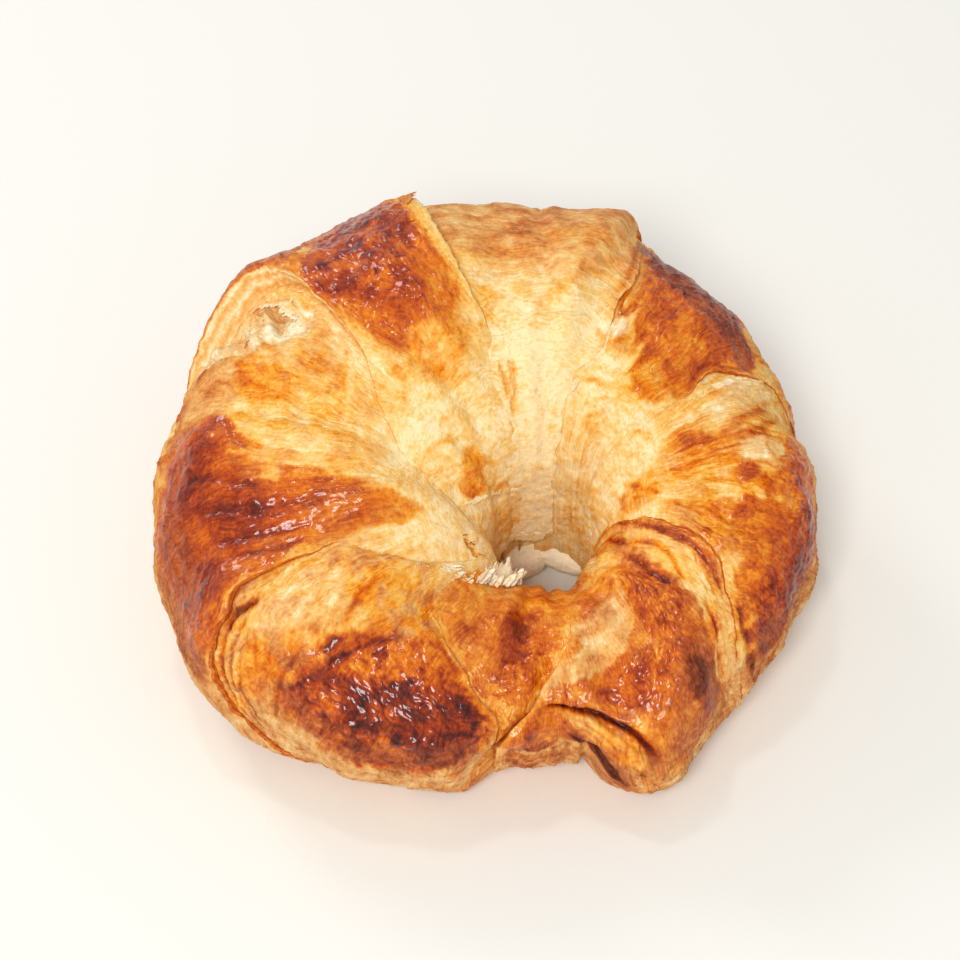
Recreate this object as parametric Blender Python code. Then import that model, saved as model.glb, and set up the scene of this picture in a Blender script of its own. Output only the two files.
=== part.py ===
"""Croissant: a butter croissant whose two arms curl round until their tips overlap in front.

Units are metres, +Z is up and the front faces -Y.  The dough is one solid ring of wraps round a small
open hole.  A place on it is named by two angles: the turn round the hole (0 at the front, growing
towards the left arm, 180 at the thick back) and the way round the roll (0 outward, 90 up, 180 towards
the hole, 270 down).
"""
import bpy
from math import copysign, cos, exp, hypot, pi, radians, sin

MM = 0.001

# Driving sizes of the roll at its stations, in mm:
# turn round the hole (degrees), outer radius, radius of the hole, height.
ROLL = (
    (0, 43, 8.0, 31),
    (20, 53, 8.5, 33),
    (42, 61, 9.5, 38),
    (62, 74, 10.0, 44),
    (82, 77, 10.5, 49),
    (105, 81, 10.5, 53),
    (130, 84, 11.0, 58),
    (150, 86, 11.0, 61),
    (180, 78, 11.0, 59),
    (195, 77, 11.0, 59),
    (208, 69, 11.0, 58),
    (225, 63, 11.0, 55),
    (250, 60, 10.5, 50),
    (270, 56, 10.5, 45),
    (295, 51, 10.0, 38),
    (312, 50, 9.5, 35),
    (330, 53, 9.0, 32),
    (345, 47, 8.5, 31),
)
ROUNDNESS = 2.3            # power of the roll's section: 2 is an ellipse, more is squarer
HOLE_ROUNDNESS = 5.0       # the same below the hole's waist, where the dough stands nearly upright
SINK = 0.86                # height of the section's centre as a share of its half height
FLAT_FADE = 12.0           # mm above the tray over which steps and swells come in

# Edges between the wraps: the turn at which each edge crosses the roll's foot, side, shoulder,
# crest, inner slope and hole.  'over' says which wrap lies on top, the one before or after the edge;
# 'lip' is how far it stands up, 'dip' how far the wrap below is pressed in, both in mm.
EDGE_WAYS = (-45, 0, 45, 90, 135, 180)
EDGES = {
    "tips": {"turns": (12, 12, 6, -10, -34, -42), "over": "before", "lip": 2.4, "dip": 1.0},
    "left_2": {"turns": (17, 16, 11, 27, 42, 44), "over": "after", "lip": 1.4, "dip": 0.8},
    "left_1": {"turns": (62, 66, 68, 70, 50, 49), "over": "after", "lip": 1.8, "dip": 1.0},
    "left_0": {"turns": (112, 116, 130, 124, 82, 58), "over": "after", "lip": 3.2, "dip": 2.4},
    "centre_left": {"turns": (160, 160, 160, 158, 158, 160), "over": "before", "lip": 3.0, "dip": 1.6},
    "centre_right": {"turns": (199, 199, 200, 202, 201, 196), "over": "before", "lip": 2.6, "dip": 1.2},
    "right_2": {"turns": (246, 246, 242, 238, 234, 205), "over": "before", "lip": 2.4, "dip": 1.4},
    "right_3": {"turns": (308, 306, 301, 287, 281, 279), "over": "before", "lip": 1.8, "dip": 1.0},
}
# Each wrap runs from the edge of its own place in the list to the next: name, swell in mm, columns.
WRAPS = (
    ("left_tip", 1.0, 8),
    ("left_2", 2.4, 15),
    ("left_1", 2.6, 19),
    ("left_0", 2.0, 17),
    ("centre", 1.4, 16),
    ("right_1", 2.0, 15),
    ("right_2", 2.2, 18),
    ("right_tip", 1.6, 20),
)
ROWS = 36                  # points round the roll
LIP_REACH = 9.0            # mm over which a lip and a dip die away from their edge
UNDERCUT = 0.8             # mm that the lower wrap starts under the upper one's lip
SEAM = 0.5                 # mm wide strip between two wraps where their lip has died away
SWELL_LEVEL = 0.6          # share of the swell taken off, so that wraps swell about the roll's own size

# The curled end of the right arm's outer layer: a rounded tongue low on the front.
EAR = {"turn": 341.0, "way": -4.0, "half_turn": 13.0, "half_way": 42.0, "groove": 2.0, "bulge": 1.8}

# Slow waves that make the dough uneven: waves round the hole, waves round the roll, phase, mm.
UNEVENNESS = ((11, 2, 0.4, 0.5), (17, -3, 1.9, 0.4), (7, 4, 3.1, 0.45), (23, 1, 5.0, 0.3))

CRUST_COLOUR = (0.62, 0.27, 0.06, 1.0)


def clear_scene():
    for thing in list(bpy.data.objects):
        bpy.data.objects.remove(thing, do_unlink=True)


def curve_through(places, values, place):
    """Smooth curve through rising places; flat beyond its ends."""
    last = len(places) - 1
    slopes = []
    for index in range(last + 1):
        before = max(index - 1, 0)
        after = min(index + 1, last)
        slopes.append((values[after] - values[before]) / (places[after] - places[before]))
    place = min(max(place, places[0]), places[last])
    index = 0
    while index < last - 1 and place > places[index + 1]:
        index += 1
    span = places[index + 1] - places[index]
    t = (place - places[index]) / span
    start = (2 * t**3 - 3 * t**2 + 1) * values[index] + (t**3 - 2 * t**2 + t) * span * slopes[index]
    end = (3 * t**2 - 2 * t**3) * values[index + 1] + (t**3 - t**2) * span * slopes[index + 1]
    return start + end


def roll_sizes(turn):
    """Outer radius, hole radius and height of the roll at a turn round the hole."""
    turns = [row[0] - 360 for row in ROLL[-2:]] + [row[0] for row in ROLL] + [row[0] + 360 for row in ROLL[:3]]
    rows = ROLL[-2:] + ROLL + ROLL[:3]
    place = turn % 360
    return [curve_through(turns, [row[column] for row in rows], place) for column in (1, 2, 3)]


def edge_turn(edge, way):
    """Turn at which an edge crosses the given way round the roll."""
    if way > 180:
        share = (way - 180) / 135
        blend = share * share * (3 - 2 * share)
        return edge["turns"][-1] + (edge["turns"][0] - edge["turns"][-1]) * blend
    return curve_through(EDGE_WAYS, edge["turns"], way)


def section_point(turn, way):
    """Radius, height and outward direction of the smooth roll."""
    outer, hole, height = roll_sizes(turn)
    half_width = (outer - hole) / 2
    half_height = height / (1 + SINK)
    c = cos(radians(way))
    s = sin(radians(way))
    power = HOLE_ROUNDNESS if c < 0 and s < 0 else ROUNDNESS
    reach = (abs(c) ** power + abs(s) ** power) ** (1 / power)
    c /= reach
    s /= reach
    out = copysign(abs(c) ** (power - 1), c) / half_width
    up = copysign(abs(s) ** (power - 1), s) / half_height
    length = hypot(out, up)
    radius = (outer + hole) / 2 + half_width * c
    level = half_height * (SINK + s)
    return radius, level, out / length, up / length


def free_share(level, way):
    """0 on the tray and deep in the hole, 1 on the open crust."""
    above = min(max(level / FLAT_FADE, 0), 1)
    inward = min(max((way - 110) / 60, 0), 1) if way < 250 else 0
    return above * above * (3 - 2 * above) * (1 - 0.75 * inward)


def unevenness(turn, way):
    total = 0.0
    for round_hole, round_roll, phase, size in UNEVENNESS:
        total += size * sin(round_hole * radians(turn) + round_roll * radians(way) + phase)
    return total


def ear_height(turn, way):
    """Groove and bulge of the curled end on the right arm."""
    across = ((turn % 360) - EAR["turn"]) / EAR["half_turn"]
    along = (way - EAR["way"]) / EAR["half_way"]
    distance = hypot(across, along)
    groove = EAR["groove"] * exp(-((distance - 1) / 0.16) ** 2)
    bulge = EAR["bulge"] * max(0.0, 1 - distance**2)
    return bulge - groove


def edge_rise(edge, distance, on_top):
    """Rise beside an edge, at a distance in mm, on the upper or the lower wrap."""
    fade = exp(-((distance / LIP_REACH) ** 2))
    return edge["lip"] * fade if on_top else -edge["dip"] * fade


def wrap_point(start, end, swell, share, way, foot_turns):
    """Point of a wrap: share 0 at its first edge, 1 at its second."""
    first, second = foot_turns
    turn = first + (second - first) * share
    radius, level, out, up = section_point(turn, way)
    free = free_share(level, way)
    mm_per_degree = radians(max(radius, 1.0))
    rise = swell * (sin(pi * share) - SWELL_LEVEL)
    rise += edge_rise(start, (turn - first) * mm_per_degree, start["over"] == "after")
    rise += edge_rise(end, (second - turn) * mm_per_degree, end["over"] == "before")
    rise += unevenness(turn, way) + ear_height(turn, way)
    radius += rise * free * out
    level = max(level + rise * free * up, 0.0)
    return (-radius * sin(radians(turn)), -radius * cos(radians(turn)), level)


def shifted_turns(start, end, way, turns):
    """Turns where a wrap starts and ends at this way, its lower side tucked under the upper wrap."""
    first, second = turns
    radius, level, _, _ = section_point(first, way)
    free = free_share(level, way)
    tuck = (SEAM * (1 - free) - UNDERCUT * free) / radians(max(radius, 1.0))
    if start["over"] == "before":
        first += tuck
    else:
        first += SEAM / radians(max(radius, 1.0))
    if end["over"] == "after":
        second -= tuck
    return first, second


def wrap_columns(place):
    """Columns of points of one wrap, each running once round the roll."""
    names = list(EDGES)
    _, swell, count = WRAPS[place]
    start = EDGES[names[place]]
    end = EDGES[names[(place + 1) % len(names)]]
    lap = 360 if place == len(names) - 1 else 0
    columns = []
    for column in range(count):
        share = column / (count - 1)
        points = []
        for row in range(ROWS):
            way = row * 360 / ROWS - 45
            turns = (edge_turn(start, way), edge_turn(end, way) + lap)
            foot_turns = shifted_turns(start, end, way, turns)
            points.append(wrap_point(start, end, swell, share, way, foot_turns))
        columns.append(points)
    return columns


def ring_mesh():
    """Closed ring of quads through every wrap's columns in turn."""
    columns = []
    for place in range(len(WRAPS)):
        columns += wrap_columns(place)
    points = [point for column in columns for point in column]
    faces = []
    for column in range(len(columns)):
        following = (column + 1) % len(columns)
        for row in range(ROWS):
            above = (row + 1) % ROWS
            faces.append((
                column * ROWS + row,
                column * ROWS + above,
                following * ROWS + above,
                following * ROWS + row,
            ))
    return points, faces


def centred(points):
    """Points in metres, with the middle of the box's bottom at the origin."""
    middle = []
    for axis in (0, 1):
        values = [point[axis] for point in points]
        middle.append((min(values) + max(values)) / 2)
    return [((x - middle[0]) * MM, (y - middle[1]) * MM, z * MM) for x, y, z in points]


def crust_material():
    material = bpy.data.materials.new("baked_crust")
    material.use_nodes = True
    shader = material.node_tree.nodes["Principled BSDF"]
    shader.inputs["Base Color"].default_value = CRUST_COLOUR
    shader.inputs["Roughness"].default_value = 0.42
    shader.inputs["Metallic"].default_value = 0.0
    return material


def build_croissant():
    points, faces = ring_mesh()
    mesh = bpy.data.meshes.new("croissant")
    mesh.from_pydata(centred(points), [], faces)
    mesh.shade_smooth()
    mesh.materials.append(crust_material())
    croissant = bpy.data.objects.new("croissant", mesh)
    bpy.context.scene.collection.objects.link(croissant)


clear_scene()
build_croissant()
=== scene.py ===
from math import cos, radians, sin
import bpy
import numpy as np
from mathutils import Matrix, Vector


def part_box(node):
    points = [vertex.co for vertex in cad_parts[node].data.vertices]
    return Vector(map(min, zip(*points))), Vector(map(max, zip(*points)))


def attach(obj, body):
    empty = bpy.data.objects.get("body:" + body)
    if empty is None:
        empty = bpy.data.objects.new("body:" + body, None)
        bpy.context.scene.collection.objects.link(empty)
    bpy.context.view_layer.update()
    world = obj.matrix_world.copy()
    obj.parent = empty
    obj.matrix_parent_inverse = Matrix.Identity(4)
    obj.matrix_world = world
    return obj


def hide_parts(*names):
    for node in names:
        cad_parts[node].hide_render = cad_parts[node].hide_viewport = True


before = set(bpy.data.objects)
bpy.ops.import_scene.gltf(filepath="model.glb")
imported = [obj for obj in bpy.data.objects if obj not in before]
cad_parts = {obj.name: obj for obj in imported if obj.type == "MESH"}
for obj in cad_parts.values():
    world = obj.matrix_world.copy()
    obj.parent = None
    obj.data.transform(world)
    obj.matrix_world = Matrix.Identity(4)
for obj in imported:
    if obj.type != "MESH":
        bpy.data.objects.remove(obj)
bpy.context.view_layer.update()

# A butter croissant curled into a ring.  A place on the dough is two angles: turn goes round the hole
# (0 front, 90 left arm, 180 thick back) and way goes round the roll (0 outward, 90 up, 180 to the hole).
# The form is worked out in mm about the hole, then set into the CAD box.
roll = {
    "turn": (0, 20, 42, 62, 82, 105, 130, 150, 180, 195, 208, 225, 250, 270, 295, 312, 330, 345),
    "outer": (43, 53, 61, 74, 77, 81, 84, 86, 78, 77, 69, 63, 60, 56, 51, 50, 53, 47),
    "hole": (8, 8.5, 9.5, 10, 10.5, 10.5, 11, 11, 11, 11, 11, 11, 10.5, 10.5, 10, 9.5, 9, 8.5),
    "height": (31, 33, 38, 44, 49, 53, 58, 61, 59, 59, 58, 55, 50, 45, 38, 35, 32, 31),
    "roundness": 2.3,
    "holeRoundness": 5.0,
    "sink": 0.86,
    "flatFade": 12.0,
    "waves": ((11, 2, 0.4, 0.5), (17, -3, 1.9, 0.4), (7, 4, 3.1, 0.45), (23, 1, 5.0, 0.3)),
    "mmPerWay": 0.52,
}

# Where one wrap of dough comes out from under the next: its line as (way, turn), the wrap on top, how
# far that one's lip stands up along the line, how far the one below dips, and how torn the lip is.
edges = {
    "tips": {
        "line": ((-45, 12), (0, 12), (15, 11), (30, 8), (40, 3), (52, 0), (60, -3), (75, -8), (90, -12),
                 (105, -14), (120, -18), (135, -23), (155, -30), (180, -40)),
        "over": "before", "lips": ((-45, 1.2), (30, 1.5), (60, 1.2), (90, 0.8), (125, 0.2), (140, 0.05)),
        "dip": 0.9,
        "ragged": 0.3, "shows": ((100, 1.0), (120, 0.3))},
    "leftTwo": {
        "line": ((-45, 22), (-15, 18), (0, 16), (12, 14), (25, 12), (38, 12), (48, 15), (55, 18), (63, 21),
                 (72, 25), (80, 31), (86, 36), (93, 41), (105, 44), (130, 45), (180, 44)),
        "over": "after", "lips": ((-45, 1.0), (30, 1.4), (75, 1.5), (95, 0.5), (115, 0.2)), "dip": 1.3,
        "ragged": 0.6, "shows": ((95, 1.0), (115, 0.2))},
    # the dark tone of this lip's wall is partly its own browned edge, partly painted shade in the groove
    # under the lip
    "leftOne": {
        "line": ((-45, 48), (-15, 54), (0, 60), (15, 63), (30, 65), (45, 67), (52, 69.5), (60, 70), (75, 71),
                 (90, 71), (98, 68), (105, 63), (115, 58), (125, 54), (135, 50), (155, 47), (180, 46)),
        "over": "after", "lips": ((-45, 1.0), (30, 1.5), (55, 1.8), (80, 0.7), (95, 0.2), (110, 0.15),
                                  (130, 0.9)),
        "dip": 1.0, "wall": 0.46, "rim": 0.12, "ragged": 0.9, "shows": ((80, 1.0), (98, 0.1))},
    "leftZero": {
        "line": ((-45, 112), (0, 117), (15, 121), (30, 128), (40, 132), (55, 133), (66, 132), (77, 130),
                 (90, 127), (97, 124), (105, 117), (112, 110), (118, 104), (127, 97), (137, 90), (146, 84),
                 (160, 72), (180, 60)),
        "over": "after", "lips": ((-45, 3.0), (5, 4.4), (30, 5.0), (50, 3.8), (66, 2.8), (80, 2.0),
                                  (98, 0.9), (112, 0.25),
                                  (130, 0.1)),
        "dip": 2.0, "wall": -0.02, "wallWash": 0.5, "wallStripe": 0.3, "crustLine": 0.5, "rim": 0.2,
        "ragged": 0.9,
        "shows": ((95, 1.0), (110, 0.1))},
    "centreLeft": {
        "line": ((-45, 157.6), (0, 157.6), (45, 156.6), (62, 156), (78, 156.4), (90, 157), (100, 158.7),
                 (108, 160), (117, 160),
                 (122, 157.5), (135, 157), (147, 159), (160, 158), (180, 160)),
        "over": "before", "lips": ((-45, 1.8), (45, 2.6), (80, 2.2), (105, 1.2), (122, 0.5), (135, 0.12),
                                   (170, 0.06)),
        "dip": 1.3, "ragged": 0.9, "shows": ((110, 1.0), (145, 0.2))},
    "centreRight": {
        "line": ((-45, 197), (0, 197), (45, 197.5), (60, 200), (75, 203), (90, 203), (112, 203), (120, 200),
                 (127, 196), (135, 194), (150, 193), (180, 193)),
        "over": "before", "lips": ((-45, 0.9), (40, 0.8), (60, 0.8), (80, 0.5), (100, 0.3), (112, 0.2),
                                   (124, 0.1), (136, 0.04)),
        "dip": 0.7, "wall": 0.40, "ragged": 1.1, "shows": ((60, 0.8), (80, 0.3), (125, 0.2), (136, 0.0))},
    # the dark tone of this lip's wall is partly its own orange-brown edge, partly painted shade under the
    # lip
    "rightTwo": {
        "line": ((-45, 246), (0, 246), (28, 243), (40, 240), (52, 239), (60, 237.5), (70, 235), (77, 234),
                 (84, 235), (90, 237), (105, 238), (120, 239), (135, 238), (155, 232), (180, 222)),
        "over": "before", "lips": ((-45, 0.3), (30, 0.35), (50, 0.5), (62, 0.8), (78, 1.0), (88, 0.35),
                                   (98, 0.05), (180, 0.02)),
        "dip": 0.5, "ragged": 0.5, "wall": 0.50, "shows": ((84, 1.0), (96, 0.0))},
    "rightThree": {
        "line": ((-45, 306), (15, 305.5), (33, 304.5), (46, 301), (54, 298), (60, 295.5), (73, 290),
                 (90, 286),
                 (105, 283), (120, 280), (135, 279), (150, 276), (180, 274)),
        "over": "before", "lips": ((-45, 0.5), (30, 0.6), (60, 0.9), (75, 1.0), (110, 0.7), (140, 0.3),
                                   (160, 0.12)), "dip": 0.7,
        "wall": 0.46, "rim": 0.2, "ragged": 0.5, "shows": ((130, 1.0), (150, 0.2))},
}
lipReach = 8.0
undercut = 0.8
swellLevel = 0.6

# rows round the roll: close together where they show, wide apart on the flat underside
rowWays = np.concatenate([np.linspace(-48, 215, 318, endpoint=False),
                          np.linspace(215, 312, 26, endpoint=False)])


def smoothCurve(places, values, at):  # a smooth curve through rising places, flat past its ends
    places = np.asarray(places, float)
    values = np.asarray(values, float)
    before = np.maximum(np.arange(len(places)) - 1, 0)
    after = np.minimum(np.arange(len(places)) + 1, len(places) - 1)
    slopes = (values[after] - values[before]) / (places[after] - places[before])
    at = np.clip(at, places[0], places[-1])
    i = np.clip(np.searchsorted(places, at, side="right") - 1, 0, len(places) - 2)
    span = places[i + 1] - places[i]
    t = (at - places[i]) / span
    start = (2 * t**3 - 3 * t**2 + 1) * values[i] + (t**3 - 2 * t**2 + t) * span * slopes[i]
    end = (3 * t**2 - 2 * t**3) * values[i + 1] + (t**3 - t**2) * span * slopes[i + 1]
    return start + end


def ease(low, high, value):
    t = np.clip((value - low) / (high - low), 0, 1)
    return t * t * (3 - 2 * t)


def rollSize(name, turn):
    turns = np.array(roll["turn"], float)
    sizes = np.array(roll[name], float)
    turns = np.concatenate([turns[-3:] - 360, turns, turns[:3] + 360])
    sizes = np.concatenate([sizes[-3:], sizes, sizes[:3]])
    return smoothCurve(turns, sizes, np.mod(turn, 360.0))


def section(turn, way):  # radius, level and outward direction of the smooth roll
    outer, hole, height = (rollSize(name, turn) for name in ("outer", "hole", "height"))
    halfWidth = (outer - hole) / 2
    halfHeight = height / (1 + roll["sink"])
    c = np.cos(np.radians(way))
    s = np.sin(np.radians(way))
    power = np.where((c < 0) & (s < 0), roll["holeRoundness"], roll["roundness"])
    reach = (np.abs(c) ** power + np.abs(s) ** power) ** (1 / power)
    c = c / reach
    s = s / reach
    out = np.sign(c) * np.abs(c) ** (power - 1) / halfWidth
    up = np.sign(s) * np.abs(s) ** (power - 1) / halfHeight
    length = np.hypot(out, up)
    middle = (outer + hole) / 2
    return middle + halfWidth * c, halfHeight * (roll["sink"]
                                                 + s), out / length, up / length, middle, halfHeight


def freeShare(level, way):  # 0 on the tray and deep in the hole, 1 on the open crust
    inward = np.where(way < 250, np.clip((way - 110) / 60, 0, 1), 0)
    return ease(0, roll["flatFade"], level) * (1 - 0.75 * inward)


def scatter(x, y, z, seed):  # an even spread of fixed random numbers on whole-number places
    n = (x * 73856093) ^ (y * 19349663) ^ (z * 83492791) ^ (seed * 40503)
    n = ((n ^ (n >> 13)) * 1274126177) & 0x7FFFFFFF
    n = ((n ^ (n >> 15)) * 668265263) & 0x7FFFFFFF
    return ((n ^ (n >> 14)) & 0xFFFFFF) / 0xFFFFFF


def noise(x, y, z, seed):  # smooth lattice noise from -1 to 1
    x, y, z = np.broadcast_arrays(x, y, z)
    cells = [np.floor(a).astype(np.int64) for a in (x, y, z)]
    parts = [a - c for a, c in zip((x, y, z), cells)]
    parts = [f * f * f * (f * (f * 6 - 15) + 10) for f in parts]
    total = 0
    for corner in range(8):
        steps = (corner & 1, (corner >> 1) & 1, (corner >> 2) & 1)
        weight = 1.0
        for f, step in zip(parts, steps):
            weight = weight * (f if step else 1 - f)
        total = total + weight * scatter(cells[0] + steps[0], cells[1] + steps[1], cells[2] + steps[2], seed)
    return total * 2 - 1


def cloudNoise(points, size, octaves, seed):
    total = 0
    strength = 1.0
    for octave in range(octaves):
        p = points / size + 17.3 * octave
        total = total + strength * noise(p[..., 0], p[..., 1], p[..., 2], seed + octave)
        size = size * 0.47
        strength = strength * 0.55
    return total


def grainNoise(u, v, across, along, octaves, seed):  # drawn out along v
    total = 0
    strength = 1.0
    for octave in range(octaves):
        total = total + strength * noise(u / across + 31.7 * octave, v / along, 0.5, seed + octave)
        across = across * 0.5
        along = along * 0.6
        strength = strength * 0.6
    return total


def blisterField(u, v, seed):  # domes with creases between them, from scattered centres
    cells = [np.floor(a).astype(np.int64) for a in (u, v)]
    nearest = np.full(u.shape, 9.0)
    second = np.full(u.shape, 9.0)
    zero = np.zeros_like(cells[0])
    for du in (-1, 0, 1):
        for dv in (-1, 0, 1):
            cu = cells[0] + du
            cv = cells[1] + dv
            far = np.hypot(u - cu - scatter(cu, cv, zero, seed), v - cv - scatter(cu, cv, zero, seed + 1))
            second = np.minimum(second, np.maximum(nearest, far))
            nearest = np.minimum(nearest, far)
    return 1 - nearest, ease(0, 0.3, second - nearest)


def terraces(field, sharpness):  # a slope broken into thin sheets, and a mark where each sheet ends
    level = np.floor(field)
    within = field - level
    height = level + ease(1 - sharpness, 1, within)
    return height, ease(1 - 2 * sharpness, 1 - 0.5 * sharpness, within)


def perDegree(turn, way):
    return np.radians(np.maximum(section(turn, way)[0], 6))


def edgeTurn(name, way):  # the torn line of an edge
    edge = edges[name]
    ways, turns = zip(*edge["line"])
    shown = smoothCurve(ways, turns, way)
    under = turns[-1] + (turns[0] - turns[-1]) * ease(180, 315, way)
    line = np.where(way > 180, under, shown)
    place = way * roll["mmPerWay"]
    seed = len(name) + int(turns[0])
    jag = noise(place / 6.0, 0.5, 0.5, seed) * 0.9 + noise(place / 2.2, 0.5, 0.5, seed + 1) * 0.6
    jag = jag + noise(place / 0.9, 0.5, 0.5, seed + 2) * 0.35
    shownShare = ease(-40, -20, way) * ease(190, 170, way)
    return line + jag * edge["ragged"] * shownShare / perDegree(line, way)


def edgeLip(name, way):
    ways, lips = zip(*edges[name]["lips"])
    return smoothCurve(ways, lips, np.where(way > 180, 360 - way, way))


def edgeShow(name, way):  # fades the cut layers where an edge melts into the crust
    ways, shares = zip(*edges[name].get("shows", ((0, 1.0), (1, 1.0))))
    return smoothCurve(ways, shares, way)


def edgeSlant(name, way):  # shrinks a distance along turn to one straight across the edge
    ahead = edgeTurn(name, way + 3) - edgeTurn(name, way - 3)
    rise = ahead / 6 * perDegree(edgeTurn(name, way), way) / roll["mmPerWay"]
    return 1 / np.sqrt(1 + np.clip(rise, -4, 4) ** 2)


def formRise(turn, way):
    rise = 0
    for roundHole, roundRoll, phase, size in roll["waves"]:
        rise = rise + size * np.sin(roundHole * np.radians(turn) + roundRoll * np.radians(way) + phase)
    return rise


def wrapGrid(wrap):  # turn, way and rise for every point of a wrap's skin, lips and hidden ends
    way = rowWays[None, :]
    first = edgeTurn(wrap["start"], way)
    second = edgeTurn(wrap["end"], way) + wrap.get("endLap", 0)
    parts = [(share, 0.0, 0) for share in np.linspace(0, 1, wrap["columns"])]
    for side, name in ((-1, wrap["start"]), (1, wrap["end"])):
        over = edges[name]["over"] == ("after" if side < 0 else "before")
        steps = np.linspace(0, 1, 11 if over else 6)[1:]
        tail = [(0.0 if side < 0 else 1.0, step, side * (2 if over else 1)) for step in steps]
        parts = tail[::-1] + parts if side < 0 else parts + tail
    share, tail, kind = (np.array(column)[:, None] for column in zip(*parts))
    turn = first + (second - first) * share
    way = way + 0 * turn
    level = section(turn, way)[1]
    mm = perDegree(turn, way)
    free = freeShare(level, way)
    rise = wrap["swell"] * (np.sin(np.pi * share) - swellLevel) + formRise(turn, way)
    grid = {"turn": turn, "way": way, "free": free, "share": share + 0 * turn}
    for side, name, off in ((-1, wrap["start"], turn - first), (1, wrap["end"], second - turn)):
        over = edges[name]["over"] == ("after" if side < 0 else "before")
        lip = edgeLip(name, way)
        distance = off * mm * edgeSlant(name, way)
        fade = np.exp(-((distance / lipReach) ** 2))
        dip = edges[name]["dip"] * lip / max(height for _, height in edges[name]["lips"])
        rise = rise + (lip * fade if over else -dip * fade)
        here = np.sign(kind) == side
        # over an edge the skin turns down in a lip; under one it runs on out of sight
        if over:
            deep = lip + dip + 1.0
            rise = rise - here * deep * (1 - np.cos(tail * np.pi / 2)) ** 0.8
            swing = 0.35 * np.sin(np.pi * np.minimum(tail * 1.5, 1)) - (undercut + 0.3) * tail**2
            swing = swing * np.minimum(lip / 1.2, 1)
        else:
            rise = rise - here * tail * 1.2
            swing = tail * (undercut + 3.0)
        turn = turn + side * here * swing / mm
        grid["from" + ("Start" if side < 0 else "End")] = np.maximum(distance, 0)
    grid["turn"] = turn
    grid["rise"] = rise
    grid["wall"] = (np.abs(kind) == 2) * tail + 0 * turn
    grid["hidden"] = (np.abs(kind) == 1) * tail + 0 * turn
    return grid


def placeOn(turn, way, rise, free):
    radius, level, out, up = section(turn, way)[:4]
    radius = radius + rise * free * out
    level = np.maximum(level + rise * free * up, 0)
    a = np.radians(turn)
    return np.stack([-radius * np.sin(a), -radius * np.cos(a), level], -1)


def patchShare(patch, turn, way, ragged):  # soft-edged area: turn, way, half widths, lean in turn per way
    centreTurn, centreWay, halfTurn, halfWay, lean = patch[:5]
    off = np.mod(turn - centreTurn + 180, 360) - 180 - lean * (way - centreWay)
    distance = np.hypot(off / halfTurn, (way - centreWay) / halfWay)
    return ease(1.22, 0.82, distance + ragged)


def pathDistance(path, turn, way):  # mm from a line on the crust, which side, and place along it
    path = np.array(path, float)
    shift = 360 * np.round((turn.mean() - path[:, 0].mean()) / 360)
    steps = np.linspace(0, len(path) - 1, 6 * (len(path) - 1) + 1)
    places = np.arange(len(path))
    lineTurn = smoothCurve(places, path[:, 0] + shift, steps)
    lineWay = smoothCurve(places, path[:, 1], steps)
    best = np.full(turn.shape, 99.0)
    side = np.zeros(turn.shape)
    along = np.zeros(turn.shape)
    near = (np.abs(way - lineWay.mean()) < np.ptp(lineWay) / 2 + 25)
    near &= (np.abs(turn - lineTurn.mean()) < np.ptp(lineTurn) / 2 + 25)
    count = int(near.sum())
    if count == 0:
        return best, side, along
    bestNear = np.full(count, 99.0)
    sideNear = np.zeros(count)
    alongNear = np.zeros(count)
    for i in range(len(steps) - 1):
        mm = perDegree(lineTurn[i], lineWay[i])
        legTurn = (lineTurn[i + 1] - lineTurn[i]) * mm
        legWay = (lineWay[i + 1] - lineWay[i]) * roll["mmPerWay"]
        offTurn = (turn[near] - lineTurn[i]) * mm
        offWay = (way[near] - lineWay[i]) * roll["mmPerWay"]
        t = np.clip((offTurn * legTurn + offWay * legWay) / (legTurn**2 + legWay**2 + 1e-9), 0, 1)
        far = np.hypot(offTurn - t * legTurn, offWay - t * legWay)
        closer = far < bestNear
        sideNear = np.where(closer, np.sign(legTurn * offWay - legWay * offTurn), sideNear)
        alongNear = np.where(closer, (i + t) / (len(steps) - 1), alongNear)
        bestNear = np.where(closer, far, bestNear)
    best[near] = bestNear
    side[near] = sideNear
    along[near] = alongNear
    return best, side, along


# The way that the dough's fibres run: how far they climb in mm as they go round the hole on the inner
# slopes, and how much they lean along turn as they cross the top of the crust.
fibreRun = {
    "turn": (0, 30, 60, 90, 120, 150, 175, 200, 225, 250, 275, 300, 330, 360),
    "climb": (0, 3, 7, 12, 18, 22, 23, 23, 16, 8, 2, -2, -2, 0),
    "lean": (0, 0.7, 0.5, -0.1, -0.5, -0.1, 0, 0, 0.05, 0.1, -0.3, -0.5, -0.6, 0),
}


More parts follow.
